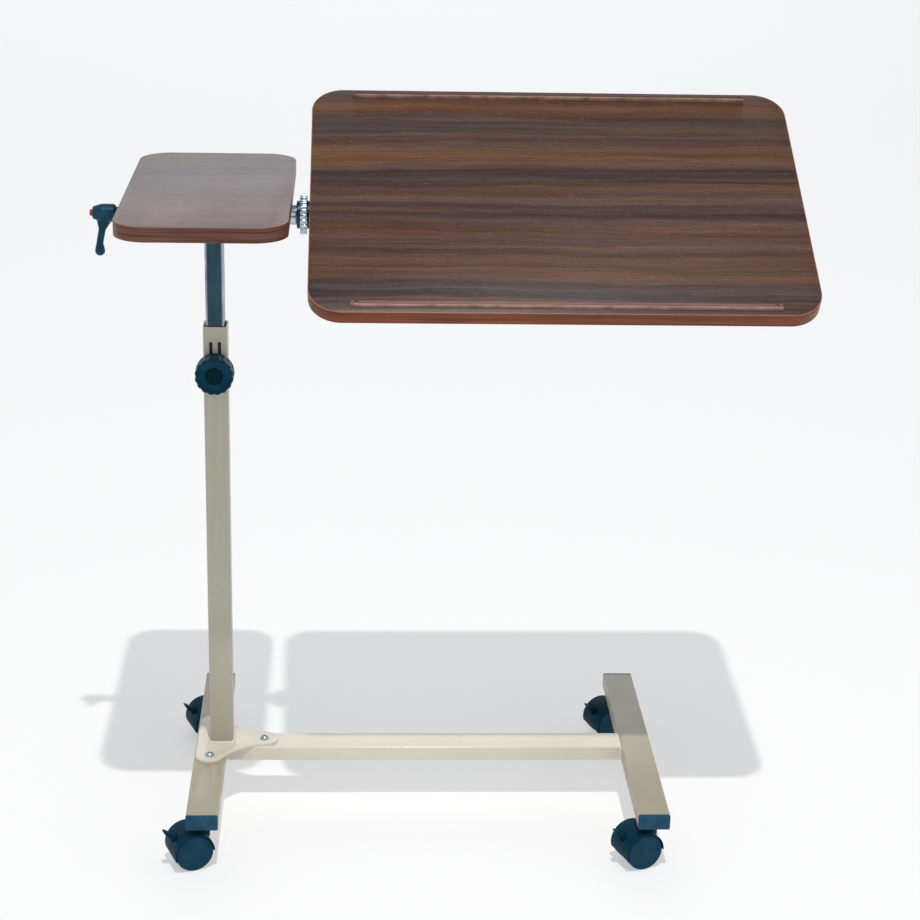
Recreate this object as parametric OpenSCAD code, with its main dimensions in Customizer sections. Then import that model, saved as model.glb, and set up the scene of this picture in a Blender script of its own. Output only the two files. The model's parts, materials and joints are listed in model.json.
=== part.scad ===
// Wheeled overbed table with a fixed side top and a tilting main top.
// Millimetres. +Z is up, +X runs from the mast to the far crossbar, and -Y is the side with the clamp knob.
// The origin is on the floor under the middle of the whole table.

/* [Base] */
// Length of each crossbar, over its end caps
crossbar_l = 400; // [320:10:480]
// Width of the base tubes
base_tube_w = 40; // [36:1:50]
// Height of the base tubes
base_tube_h = 20; // [20:1:24]
// Distance between the two crossbars, centre to centre
crossbar_gap = 565; // [450:5:640]
// Wall of every square and rectangular tube
tube_wall = 1.5; // [1.2:0.1:1.8]
// Distance from each crossbar end to the caster stem
caster_inset = 28; // [28:1:40]

/* [Casters] */
// Height of a caster, from the floor to the crossbar
caster_h = 58; // [57:1:64]
// Diameter of the caster wheels
wheel_d = 48; // [46:1:49]
// Width over both wheels of a caster
caster_w = 44; // [42:1:48]
// Distance from the swivel axis back to the axle
caster_trail = 18; // [16:1:20]
// Direction that every caster trails in, turned from -X towards -Y
caster_turn = 22; // [0:1:30]

/* [Mast] */
// Width of the outer mast tube
mast_w = 30; // [30:1:32]
// Height of the outer mast's rim above the floor
mast_top = 655; // [600:1:690]
// Distance from the left crossbar's middle to the mast's axis
mast_offset = 14; // [12:1:16]
// Width of the sliding inner mast tube
inner_w = 23; // [22:0.5:24]
// Height of the clamp knob's axis above the floor
clamp_h = 600; // [560:1:602]
// Radius of the clamp knob
knob_r = 24; // [20:1:26]

/* [Tops] */
// Height of the tilt axis above the floor
pivot_h = 794.5; // [780:0.5:840]
// Length of the main top, along the tilt axis
main_w = 600; // [500:10:650]
// Length of the side top, along the tilt axis
side_w = 200; // [180:5:220]
// Depth of both tops, front to back
top_d = 400; // [320:10:420]
// Thickness of both tops
top_t = 18; // [15:1:25]
// Radius of the corners of both tops
top_r = 40; // [20:1:60]
// Gap between the two tops
top_gap = 21; // [20:1:26]
// Slope of the main top, its rear edge high
tilt = 28.6; // [0:0.1:60]
// Thickness of the edging around both tops
edging_t = 1; // [0.6:0.1:2]

/* [Ledges] */
// Length of the two ledge strips on the main top
ledge_l = 500; // [300:10:500]
// Depth of a ledge strip
ledge_d = 6.5; // [5:0.5:9]
// Height of a ledge strip above the top
ledge_h = 5; // [3:0.5:8]
// Distance from the top's edge to a ledge strip
ledge_inset = 8.5; // [6:0.5:20]

/* [Tilt joint] */
// Outside diameter of the tubes under both tops
head_d = 25; // [24:0.5:26]
// Thickness of the plates between those tubes and the tops
plate_t = 2; // [2:0.5:3]
// Radius of the notched clamp disc
star_r = 24; // [20:1:26]
// Length of the clamp lever, from its axis to its tip
lever_l = 54; // [45:1:60]

/* [Hidden] */
$fn = 64;
eps = 0.01;
m8_r = 4;
m8_bore_r = 4.05;
m6_r = 3;

// Places along X, each measured from the left crossbar's middle and then moved to the origin.
side_offset = -4;
side_left = mast_offset + side_offset - side_w / 2;
side_right = side_left + side_w;
main_left = side_right + top_gap;
lever_end = side_left - 46;
left_x = -(lever_end + main_left + main_w) / 2;
right_x = left_x + crossbar_gap;
mast_x = left_x + mast_offset;
side_x = left_x + side_left + side_w / 2;
main_x = left_x + main_left;
hub_x = left_x + side_right;
lever_x = left_x + side_left;

// Heights
deck_z = caster_h + base_tube_h;
plate_z = deck_z + 3;
side_under_z = pivot_h + head_d / 2 + plate_t;
board_under = head_d / 2 + plate_t;
inner_bottom_z = 260;
inner_plug_t = 8;

// Base
cap_t = 3;
tube_half = crossbar_l / 2 - cap_t;
lobe_reach_y = 47;
lobe_reach_x = 70;
lobe_r = 18;
blend_r = 60;
bolt_spots = [[0, -lobe_reach_y], [0, lobe_reach_y], [lobe_reach_x, 0]];
corners = [["fl", 0, -1], ["fr", 1, -1], ["rl", 0, 1], ["rr", 1, 1]];
stem_y = crossbar_l / 2 - caster_inset;

// Casters
wheel_r = wheel_d / 2;
hood_r = wheel_r + 1.8;
hood_wall = 1.3;
hood_margin = 0.4;
lip_drop = 17;
collar_t = 3;
boss_bottom_z = 36;
stem_bottom_z = 38;
web_half = 8.5;
wheel_gap = 0.7;
wheel_t = caster_w / 2 - web_half - wheel_gap;
axle_r = 3;
tab_half = 4.6;
tab_pin = [-caster_trail - 15, wheel_r + 12.5];
tab_pin_r = 2;
tab_outline = [
    [1.5, -4.1], [11, 4.6], [17.5, 11.5], [19.8, 15.2], [18.8, 16.6], [14.5, 14.2], [9, 9.2], [-3, 3.2]
];
slot_outline = [[0, -5.2], [24, 8], [24, 24], [0, 5.2]];

// Mast
mast_r = 2.5;
inner_r = 2;
fit = 0.05;
liner_t = (mast_w - inner_w) / 2 - tube_wall - 2 * fit;
pad_r = 6;
boss_t = 4;
knob_back = mast_w / 2 + boss_t + 0.5;
knob_t = 26.5;

// Tilt joint, distances from the side top's right edge
fixed_disc_x = 5;
star_x = 9.2;
main_disc_x = 17.7;
disc_r = 17;
star_notches = 24;
tilt_tube_l = main_w - 110;
plate_w = 30;
plate_l = 300;
main_plates = [120, main_w - 170];
side_plates = [-62, 58];
screw_rows = [-135, -50, 50, 135];
ledge_y = top_d / 2 - ledge_inset - ledge_d / 2;
ledge_screw_in = 7;
ledge_spots = [for (s = [-1, 1], e = [-1, 1])
    [main_x + main_w / 2 + e * (ledge_l / 2 - ledge_screw_in), s * ledge_y]];

// ---------- Shared shapes ----------

// Rectangle with round corners, centred.
module round_rect(w, d, r) {
    square([w - 2 * r, d], center = true);
    square([w, d - 2 * r], center = true);
    for (sx = [-1, 1], sy = [-1, 1]) translate([sx * (w / 2 - r), sy * (d / 2 - r)]) circle(r = r);
}

// Section of a rectangular tube, centred.
module tube_section(w, d, r, wall) {
    difference() {
        round_rect(w, d, r);
        round_rect(w - 2 * wall, d - 2 * wall, max(r - wall, 0.3));
    }
}

// Rod or disc along +X from a given X.
module rod_x(x, l, r) {
    translate([x, 0, 0]) rotate([0, 90, 0]) cylinder(h = l, r = r);
}

// Rod or disc towards the front, -Y, from a given Y.
module rod_front(y, l, r) {
    translate([0, -y, 0]) rotate([90, 0, 0]) cylinder(h = l, r = r);
}

// Moves children to the tilt axis.
module on_axis() {
    translate([0, 0, pivot_h]) children();
}

// Moves children to the tilt axis, turned with the main top.
module tilted() {
    on_axis() rotate([tilt, 0, 0]) children();
}

// Moves children to the clamp knob's axis.
module on_clamp() {
    translate([mast_x, 0, clamp_h]) children();
}

// Moves children to a caster's swivel axis, with the caster trailing along its own -X.
module at_corner(c, turn = 0) {
    translate([c[1] == 0 ? left_x : right_x, c[2] * stem_y, 0]) rotate([0, 0, turn]) children();
}

// ---------- Base ----------

// Tube of a crossbar along Y, with its stem holes; bolts lists the holes in its top wall.
module crossbar(x, bolts) {
    difference() {
        translate([x, tube_half, deck_z - base_tube_h / 2])
            rotate([90, 0, 0])
                linear_extrude(2 * tube_half) tube_section(base_tube_w, base_tube_h, 2, tube_wall);
        for (s = [-1, 1]) translate([x, s * stem_y, caster_h - 1]) cylinder(h = tube_wall + 2, r = 4.5);
        for (b = bolts) translate([x + b[0], b[1], deck_z - tube_wall - 1]) cylinder(h = 4, r = 3.3);
    }
}

module crossbar_left() {
    color("tan") crossbar(left_x, [bolt_spots[0], bolt_spots[1]]);
}

module crossbar_right() {
    color("tan") crossbar(right_x, []);
}

// Tube between the crossbars, along X.
module spine_tube() {
    spine_l = crossbar_gap - base_tube_w;
    color("tan") difference() {
        translate([left_x + base_tube_w / 2, 0, deck_z - base_tube_h / 2])
            rotate([90, 0, 90])
                linear_extrude(spine_l) tube_section(base_tube_w, base_tube_h, 2, tube_wall);
        translate([left_x + lobe_reach_x, 0, deck_z - tube_wall - 1]) cylinder(h = 4, r = 3.3);
    }
}

// Plastic cap on one tube end: a flange and two ribs that grip the side walls.
module end_cap() {
    rib_x = base_tube_w / 2 - tube_wall - 1;
    rotate([90, 0, 0]) linear_extrude(cap_t) round_rect(base_tube_w, base_tube_h, 2);
    for (s = [-1, 1])
        translate([s * rib_x - 0.9, 0, -base_tube_h / 2 + 2.5]) cube([1.8, 12, base_tube_h - 5]);
}

module end_caps() {
    color("dimgray")
        for (x = [left_x, right_x], s = [0, 180])
            translate([x, 0, deck_z - base_tube_h / 2]) rotate([0, 0, s]) translate([0, -tube_half, 0]) end_cap();
}

// Centre of the circle of radius r that touches two lobes of radius lobe_r, on the right of the line a to b.
function blend_centre(a, b, r) =
    let (d = b - a, l = norm(d), h = sqrt((r + lobe_r) * (r + lobe_r) - l * l / 4))
    (a + b) / 2 + h * [d[1], -d[0]] / l;

// Outline of the three-lobed plate, its sides drawn in between the lobes.
module lobed_outline() {
    front = bolt_spots[0];
    rear = bolt_spots[1];
    side = bolt_spots[2];
    for (p = bolt_spots) translate(p) circle(r = lobe_r);
    translate([-lobe_r, front[1]]) square([lobe_r, rear[1] - front[1]]);
    for (s = [1, -1]) mirror([0, s == 1 ? 0 : 1]) {
        c = blend_centre(front, side, blend_r);
        difference() {
            polygon([[0, 0.01], front, c, side, [side[0], 0.01]]);
            translate(c) circle(r = blend_r, $fn = 128);
        }
    }
}

// Quarter-round weld bead along one side of the mast's foot.
module weld_bead() {
    bead = 2.6;
    rotate([90, 0, 0]) translate([0, 0, -mast_w / 2 - 1.4])
        linear_extrude(mast_w + 2.8) intersection() {
            circle(r = bead, $fn = 24);
            square([bead, bead]);
        }
}

// Three-lobed plate that carries the mast and joins the crossbar to the spine tube.
module mast_plate() {
    color("tan") {
        difference() {
            translate([left_x, 0, deck_z]) linear_extrude(plate_z - deck_z) lobed_outline();
            for (p = bolt_spots) translate([left_x + p[0], p[1], deck_z - 1]) cylinder(h = 6, r = 3.3);
        }
        for (a = [0, 90, 180, 270])
            translate([mast_x, 0, plate_z]) rotate([0, 0, a]) translate([mast_w / 2, 0, 0]) weld_bead();
    }
}

// Domed bolt with its captive washer, the head on z = 0.
module plate_bolt() {
    cylinder(h = 1.2, r = 6.2);
    translate([0, 0, 1.2]) rotate_extrude() intersection() {
        translate([0, -3.2]) circle(r = 6.2);
        square([5.2, 4]);
    }
    translate([0, 0, -16]) cylinder(h = 16, r = m6_r);
}

module plate_bolts() {
    color("silver")
        for (p = bolt_spots) translate([left_x + p[0], p[1], plate_z]) difference() {
            plate_bolt();
            translate([0, 0, 2.2]) cylinder(h = 4, r = 1.9, $fn = 6);
        }
}

// Nuts welded under the top walls of the base tubes.
module plate_nuts() {
    color("gray")
        for (p = bolt_spots) translate([left_x + p[0], p[1], deck_z - tube_wall - 5]) difference() {
            cylinder(h = 5, r = 5.8, $fn = 6);
            translate([0, 0, -1]) cylinder(h = 7, r = m6_r + 0.02);
        }
}

// Nuts welded inside the crossbars that hold the caster stems.
module caster_nuts() {
    color("gray")
        for (c = corners) at_corner(c) translate([0, 0, caster_h + tube_wall]) difference() {
            cylinder(h = 6.5, r = 7.5, $fn = 6);
            translate([0, 0, -1]) cylinder(h = 9, r = m8_r + 0.02);
        }
}

// Threaded caster stems with their collars.
module caster_stems() {
    color("silver")
        for (c = corners) at_corner(c) {
            translate([0, 0, stem_bottom_z]) cylinder(h = caster_h + 10 - stem_bottom_z, r = m8_r);
            translate([0, 0, caster_h - collar_t]) cylinder(h = collar_t, r = 8);
        }
}

// ---------- Mast ----------

module mast_outer() {
    slot_w = 4;
    slot_top = mast_top - 19;
    slot_l = 27;
    color("tan") difference() {
        translate([mast_x, 0, plate_z])
            linear_extrude(mast_top - plate_z) tube_section(mast_w, mast_w, mast_r, tube_wall);
        on_clamp() rod_front(mast_w / 2 - 4, 6, pad_r + 0.3);
        for (s = [-1, 1]) translate([mast_x + s * 5.25, -mast_w / 2 - 1, 0]) {
            translate([-slot_w / 2, 0, slot_top - slot_l + slot_w / 2])
                cube([slot_w, 4, slot_l - slot_w]);
            for (z = [slot_top - slot_l + slot_w / 2, slot_top - slot_w / 2])
                translate([0, 4, z]) rotate([90, 0, 0]) cylinder(h = 4, r = slot_w / 2);
        }
    }
}

// Plastic guide between the two mast tubes.
module mast_liner() {
    liner_l = 96;
    outer = mast_w - 2 * tube_wall - 2 * fit;
    color("black") difference() {
        translate([mast_x, 0, mast_top - 3 - liner_l]) linear_extrude(liner_l)
            tube_section(outer, outer, mast_r - tube_wall, liner_t);
        on_clamp() rod_front(inner_w / 2 - 2, 8, pad_r + 0.3);
    }
}

// Threaded boss welded on the front of the mast.
module clamp_boss() {
    color("tan") on_clamp() difference() {
        rod_front(mast_w / 2, boss_t, 8.5);
        rod_front(mast_w / 2 - 1, boss_t + 2, m8_bore_r);
    }
}

// Pad that the stud presses on the inner mast.
module clamp_pad() {
    color("goldenrod") on_clamp() rod_front(inner_w / 2, 1.9, pad_r);
}

module clamp_stud() {
    start = inner_w / 2 + 1.9;
    color("silver") on_clamp() rod_front(start, knob_back + 18 - start, m8_r);
}

// Round knob with a gripped rim and a dished face.
module clamp_knob() {
    grips = 16;
    color("darkslategray") on_clamp() difference() {
        union() {
            rod_front(knob_back, 3, knob_r - 2);
            rod_front(knob_back + 3, knob_t - 4.5, knob_r);
            translate([0, -knob_back - knob_t + 1.5, 0]) rotate([90, 0, 0])
                cylinder(h = 1.5, r1 = knob_r, r2 = knob_r - 1.5);
        }
        rod_front(knob_back - 1, 19, m8_r);
        rod_front(knob_back + knob_t - 4, 5, 10.6);
        translate([0, -knob_back - knob_t + 2.5, 0]) rotate([90, 0, 0])
            cylinder(h = 3, r1 = knob_r - 6, r2 = knob_r - 3);
        for (i = [0 : grips - 1]) rotate([0, i * 360 / grips, 0])
            translate([knob_r + 1.6, -knob_back - 6, 0]) rotate([90, 0, 0]) cylinder(h = knob_t, r = 2.8);
    }
}

module knob_cap() {
    color("black") on_clamp() {
        rod_front(knob_back + knob_t - 4, 2.4, 10.5);
        translate([0, -knob_back - knob_t + 1.6, 0]) rotate([90, 0, 0])
            cylinder(h = 0.8, r1 = 10.5, r2 = 9.5);
    }
}

// ---------- Head under the side top ----------

module mast_inner() {
    color("slategray") difference() {
        translate([mast_x, 0, inner_bottom_z])
            linear_extrude(pivot_h - inner_bottom_z) tube_section(inner_w, inner_w, inner_r, tube_wall);
        on_axis() rod_x(mast_x - 30, 60, head_d / 2);
    }
}

// Plastic foot that guides the inner mast inside the outer one.
module mast_plug() {
    flange = mast_w - 2 * tube_wall - 0.2;
    neck = inner_w - 2 * tube_wall - 0.1;
    color("black") translate([mast_x, 0, inner_bottom_z]) {
        translate([0, 0, -inner_plug_t]) linear_extrude(inner_plug_t) round_rect(flange, flange, 1.5);
        linear_extrude(14) tube_section(neck, neck, 1, 2);
    }
}

module head_tube() {
    start = lever_x - 2;
    l = hub_x + fixed_disc_x - start;
    color("silver") on_axis() difference() {
        rod_x(start, l, head_d / 2);
        rod_x(start - 1, l + 2, head_d / 2 - 2);
    }
}

// Bush in the left end of the head tube, with its flange outside.
module head_bush() {
    color("gray") on_axis() difference() {
        union() {
            rod_x(lever_x - 6.5, 4.5, head_d / 2);
            rod_x(lever_x - 2 - eps, 14, head_d / 2 - 2 - 0.02);
        }
        rod_x(lever_x - 7.5, 22, m8_bore_r);
    }
}

// Flat plate across a tube, drilled for its screws; z = 0 is its upper face.
module cross_plate(x) {
    difference() {
        translate([x, 0, -plate_t]) linear_extrude(plate_t) round_rect(plate_w, plate_l, 6);
        for (y = screw_rows) translate([x, y, -plate_t - 1]) cylinder(h = plate_t + 2, r = 2.3);
    }
}

// Pan-head wood screw pointing up, its head against z = -plate_t.
module wood_screw() {
    translate([0, 0, -plate_t - 2]) cylinder(h = 2, r = 4);
    translate([0, 0, -plate_t - 0.1]) cylinder(h = plate_t + 12.1, r = 1.9);
}

// Pilot hole for that screw in the board above z = 0.
module pilot() {
    translate([0, 0, -1]) cylinder(h = 14, r = 1.95);
}

module side_plates() {
    color("silver") translate([side_x, 0, side_under_z]) for (x = side_plates) cross_plate(x);
}

module side_screws() {
    color("silver") translate([side_x, 0, side_under_z])
        for (x = side_plates, y = screw_rows) translate([x, y, 0]) wood_screw();
}

// Board of a top, without its edging; z = 0 is its underside.
module board(w, spots) {
    difference() {
        linear_extrude(top_t) round_rect(w - 2 * edging_t, top_d - 2 * edging_t, top_r - edging_t);
        for (x = spots, y = screw_rows) translate([x, y, 0]) pilot();
    }
}

// Edging around a top.
module edging(w) {
    linear_extrude(top_t) difference() {
        round_rect(w, top_d, top_r);
        round_rect(w - 2 * edging_t, top_d - 2 * edging_t, top_r - edging_t);
    }
}

module side_top() {
    color("saddlebrown") translate([side_x, 0, side_under_z]) board(side_w, side_plates);
}

module side_edging() {
    color("sienna") translate([side_x, 0, side_under_z]) edging(side_w);
}

// Disc on the right end of the head tube, the fixed half of the clamp.
module fixed_disc() {
    color("dimgray") on_axis() difference() {
        rod_x(hub_x + fixed_disc_x, star_x - fixed_disc_x, disc_r);
        rod_x(hub_x + fixed_disc_x - 1, 8, m8_bore_r);
    }
}

// ---------- Tilting main top ----------

// Notched disc that turns with the main top.
module star_disc() {
    l = main_disc_x - star_x;
    color("silver") tilted() difference() {
        rod_x(hub_x + star_x, l, star_r);
        rod_x(hub_x + star_x - 1, l + 2, m8_r + 0.02);
        for (i = [0 : star_notches - 1]) rotate([i * 360 / star_notches, 0, 0])
            translate([hub_x + star_x - 1, 0, star_r + 0.8]) rotate([0, 90, 0]) cylinder(h = l + 2, r = 2.4);
        difference() {
            rod_x(hub_x + star_x + 1.2, l, star_r - 4.5);
            rod_x(hub_x + star_x + 1, l + 2, disc_r - 4);
        }
    }
}

// Disc welded on the left end of the tilt tube.
module main_disc() {
    color("dimgray") tilted() difference() {
        rod_x(hub_x + main_disc_x, 3, disc_r);
        rod_x(hub_x + main_disc_x - 1, 5, m8_r + 0.02);
    }
}

module tilt_tube() {
    start = hub_x + main_disc_x + 3;
    color("silver") tilted() difference() {
        rod_x(start, tilt_tube_l, head_d / 2);
        rod_x(start - 1, tilt_tube_l + 2, head_d / 2 - 2);
    }
}

// Plastic plug in the right end of the tilt tube.
module tilt_plug() {
    end = hub_x + main_disc_x + 3 + tilt_tube_l;
    color("black") tilted() {
        rod_x(end, 2.5, head_d / 2);
        rod_x(end - 12, 12 + eps, head_d / 2 - 2 - 0.02);
    }
}

// Long bolt through the whole joint, its head inside the tilt tube.
module tilt_bolt() {
    head_x = hub_x + main_disc_x + 3;
    start = lever_x - 24;
    color("gray") tilted() {
        rod_x(start, head_x - start + eps, m8_r);
        translate([head_x, 0, 0]) rotate([0, 90, 0]) cylinder(h = 5.3, r = 7.5, $fn = 6);
    }
}

module main_plates() {
    color("silver") tilted() translate([main_x, 0, board_under]) for (x = main_plates) cross_plate(x);
}

module main_screws() {
    color("silver") tilted() translate([main_x, 0, board_under])
        for (x = main_plates, y = screw_rows) translate([x, y, 0]) wood_screw();
}

module main_top() {
    color("saddlebrown") tilted() difference() {
        translate([main_x + main_w / 2, 0, board_under])
            board(main_w, [main_plates[0] - main_w / 2, main_plates[1] - main_w / 2]);
        for (p = ledge_spots) translate([p[0], p[1], board_under + top_t - 10]) cylinder(h = 11, r = 1.3);
    }
}

module main_edging() {
    color("sienna") tilted() translate([main_x + main_w / 2, 0, board_under]) edging(main_w);
}

// Strip with a round-topped section along X; side is -1 for the front and 1 for the rear.
module ledge(side) {
    round_r = 1.5;
    difference() {
        translate([main_x + main_w / 2 - ledge_l / 2, side * ledge_y, board_under + top_t])
            rotate([90, 0, 90]) linear_extrude(ledge_l) {
                translate([-ledge_d / 2, 0]) square([ledge_d, ledge_h - round_r]);
                translate([-ledge_d / 2 + round_r, 0]) square([ledge_d - 2 * round_r, ledge_h]);
                for (s = [-1, 1]) translate([s * (ledge_d / 2 - round_r), ledge_h - round_r]) circle(r = round_r);
            }
        for (p = ledge_spots) translate([p[0], p[1], board_under + top_t - 1]) cylinder(h = ledge_h + 2, r = 1.3);
        for (p = ledge_spots) translate([p[0], p[1], board_under + top_t + ledge_h - 1.5]) cylinder(h = 2, r = 2.3);
    }
}

module ledge_front() {
    color("rosybrown") tilted() ledge(-1);
}

module ledge_rear() {
    color("rosybrown") tilted() ledge(1);
}

// Small screws that hold the ledge strips down.
module ledge_screws() {
    color("gray") tilted() for (p = ledge_spots) translate([p[0], p[1], board_under + top_t]) {
        translate([0, 0, -8]) cylinder(h = 8 + ledge_h - 1.4, r = 1.25);
        translate([0, 0, ledge_h - 1.5]) cylinder(h = 1.2, r = 2.2);
    }
}

// ---------- Clamp lever ----------

// Threaded steel insert in the handle's hub.
module lever_insert() {
    color("dimgray") on_axis() difference() {
        union() {
            rod_x(lever_x - 14.5, 8, 7.5);
            rod_x(lever_x - 28, 14, 6);
        }
        rod_x(lever_x - 25.5, 20, m8_bore_r);
    }
}

// Hub and arm of the lever, with the sockets for the insert and the button.
module lever_handle() {
    hub_l = 28;
    hub_right = lever_x - 14.5;
    hub_left = hub_right - hub_l;
    color("darkslategray") on_axis() difference() {
        union() {
            translate([hub_left, 0, 0]) rotate([0, 90, 0]) rotate_extrude()
                polygon([[0, 0], [6.8, 0], [8, 1.5], [11, 11], [11, hub_l - 2.5], [9.5, hub_l], [0, hub_l]]);
            hull() {
                translate([hub_left + 19, 0, -4]) sphere(r = 6.5, $fn = 24);
                translate([hub_left + 9, 0, -5]) sphere(r = 5, $fn = 24);
                translate([hub_left + 11, 0, -20]) sphere(r = 4.4, $fn = 24);
            }
            hull() {
                translate([hub_left + 11, 0, -20]) sphere(r = 4.4, $fn = 24);
                translate([hub_left + 7.5, 0, -38]) sphere(r = 4.2, $fn = 24);
            }
            hull() {
                translate([hub_left + 7.5, 0, -38]) sphere(r = 4.2, $fn = 24);
                translate([hub_left + 7.5, 0, -lever_l + 6.5]) sphere(r = 6.2, $fn = 24);
            }
        }
        rod_x(lever_x - 28, 20, 6.02);
        rod_x(hub_left - 1, 16, 4.1);
    }
}

// Release button in the outer end of the hub.
module lever_button() {
    color("crimson") on_axis() {
        rod_x(lever_x - 45, 11, 4.02);
        translate([lever_x - 46, 0, 0]) rotate([0, 90, 0]) cylinder(h = 1, r1 = 3.2, r2 = 4.02);
    }
}

// ---------- Casters ----------

// Moves children to the axle of a caster that stands at its swivel axis.
module on_axle() {
    translate([-caster_trail, 0, wheel_r]) children();
}

// Side profile of the hood: a sector of a disc from the front over the top to below the rear.
module hood_sector(r) {
    intersection() {
        circle(r = r);
        union() {
            translate([-r, 0]) square([2 * r, r]);
            rotate(lip_drop) translate([-r, 0]) square([r, r]);
        }
    }
}

// Hood of a caster, with the swivel socket and the web between the wheels.
module caster_hood() {
    boss_r = 8.4;
    difference() {
        union() {
            on_axle() rotate([90, 0, 0]) {
                difference() {
                    translate([0, 0, -caster_w / 2 - hood_margin])
                        linear_extrude(caster_w + 2 * hood_margin) hood_sector(hood_r);
                    for (s = [-1, 1]) translate([0, 0, s == 1 ? web_half : -caster_w])
                        cylinder(h = caster_w - web_half, r = hood_r - hood_wall);
                }
                translate([0, 0, -web_half]) cylinder(h = 2 * web_half, r = 7.5);
            }
            translate([0, 0, boss_bottom_z])
                cylinder(h = caster_h - collar_t - 0.5 - boss_bottom_z, r = boss_r);
        }
        on_axle() rotate([90, 0, 0]) cylinder(h = 60, r = axle_r + 0.02, center = true);
        translate([0, 0, stem_bottom_z - 0.5]) cylinder(h = 40, r = m8_bore_r);
        brake_slot();
        at_tab_pin() cylinder(h = 40, r = tab_pin_r + fit, center = true);
    }
}

// Moves children to the pin of the brake tab, with local X towards the rear and Y up.
module at_tab_pin() {
    translate([tab_pin[0], 0, tab_pin[1]]) rotate([90, 0, 180]) children();
}

// Space that the brake tab needs, from its pin out through the hood.
module brake_slot() {
    gap = 0.3;
    at_tab_pin() translate([0, 0, -tab_half - gap]) linear_extrude(2 * (tab_half + gap)) {
        circle(r = 5.2);
        polygon(slot_outline);
    }
}

// One wheel of a caster; side is 1 for the one towards -Y and -1 for the other.
module caster_wheel(side) {
    inner = web_half + wheel_gap;
    on_axle() rotate([side * 90, 0, 0]) translate([0, 0, inner]) rotate_extrude(convexity = 4)
        difference() {
            union() {
                square([wheel_r - 2, wheel_t]);
                square([wheel_r, wheel_t - 2]);
                translate([wheel_r - 2, wheel_t - 2]) circle(r = 2);
            }
            square([axle_r + fit, wheel_t - 3]);
            translate([8, -1]) square([wheel_r - 12, wheel_t - 3]);
            translate([0, wheel_t - 0.8]) square([wheel_r - 4, 2]);
        }
}

module caster_axle() {
    l = 2 * (web_half + wheel_gap + wheel_t - 4);
    on_axle() rotate([90, 0, 0]) cylinder(h = l, r = axle_r, center = true);
}

// Brake tab on its pin; it reaches out through the hood's rear.
module caster_brake() {
    at_tab_pin() {
        cylinder(h = 2 * web_half - 1, r = tab_pin_r, center = true);
        translate([0, 0, -tab_half]) linear_extrude(2 * tab_half) {
            circle(r = 4.4);
            polygon(tab_outline);
        }
    }
}

// ---------- Assembly ----------

crossbar_left();
crossbar_right();
spine_tube();
end_caps();
mast_plate();
plate_bolts();
plate_nuts();
caster_nuts();
caster_stems();
mast_outer();
mast_liner();
clamp_boss();
clamp_pad();
clamp_stud();
clamp_knob();
knob_cap();
mast_inner();
mast_plug();
head_tube();
head_bush();
side_plates();
side_screws();
side_top();
side_edging();
fixed_disc();
star_disc();
main_disc();
tilt_tube();
tilt_plug();
tilt_bolt();
main_plates();
main_screws();
main_top();
main_edging();
ledge_front();
ledge_rear();
ledge_screws();
lever_insert();
lever_handle();
lever_button();
for (c = corners) at_corner(c, caster_turn) {
    color("darkslategray") caster_hood();
    color("silver") caster_axle();
    color("black") caster_wheel(1);
    color("black") caster_wheel(-1);
    color("black") caster_brake();
}
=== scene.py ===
import json
import math

import bmesh
import bpy
from mathutils import Matrix, Vector

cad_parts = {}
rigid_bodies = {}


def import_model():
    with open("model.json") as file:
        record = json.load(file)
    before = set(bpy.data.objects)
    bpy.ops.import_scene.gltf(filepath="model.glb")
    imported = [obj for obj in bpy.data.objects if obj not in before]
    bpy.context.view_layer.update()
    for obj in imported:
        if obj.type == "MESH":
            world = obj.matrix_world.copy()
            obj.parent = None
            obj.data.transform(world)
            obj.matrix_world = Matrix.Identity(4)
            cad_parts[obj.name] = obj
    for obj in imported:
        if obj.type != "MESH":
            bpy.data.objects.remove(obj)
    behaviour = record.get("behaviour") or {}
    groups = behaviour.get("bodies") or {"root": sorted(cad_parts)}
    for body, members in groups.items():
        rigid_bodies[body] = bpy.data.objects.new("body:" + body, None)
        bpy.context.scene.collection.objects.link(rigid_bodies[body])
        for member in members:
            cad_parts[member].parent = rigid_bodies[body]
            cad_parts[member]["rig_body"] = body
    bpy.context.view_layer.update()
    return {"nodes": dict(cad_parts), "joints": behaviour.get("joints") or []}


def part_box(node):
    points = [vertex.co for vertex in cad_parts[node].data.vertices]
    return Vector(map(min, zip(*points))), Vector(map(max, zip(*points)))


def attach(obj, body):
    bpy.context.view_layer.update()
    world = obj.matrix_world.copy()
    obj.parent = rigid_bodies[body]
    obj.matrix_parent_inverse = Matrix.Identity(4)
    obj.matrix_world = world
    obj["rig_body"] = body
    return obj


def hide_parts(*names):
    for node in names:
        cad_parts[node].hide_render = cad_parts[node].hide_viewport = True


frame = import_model()
NODES = frame["nodes"]
MM = 0.001
CORNERS = ("fl", "fr", "rl", "rr")
# Of a caster wheel, in millimetres: from the caster's middle to its inner face, and its thickness.
WHEEL_BACK = 9.2
WHEEL_T = 12.8


# ---------- Where things are ----------

JOINTS = {j["name"]: j for j in frame["joints"]}
SIDE_LO, SIDE_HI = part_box("side_edging")
TILT = -math.radians(JOINTS["main_tilt"]["range_deg"][0])
TOP_T = SIDE_HI.z - SIDE_LO.z
TOP_D = SIDE_HI.y - SIDE_LO.y
# Corner radius of both tops, and the thickness of their edging.
TOP_R = 40 * MM
EDGING = 1 * MM
MAIN_LO, MAIN_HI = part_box("main_edging")
MAIN_W = MAIN_HI.x - MAIN_LO.x
SIDE_W = SIDE_HI.x - SIDE_LO.x
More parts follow.
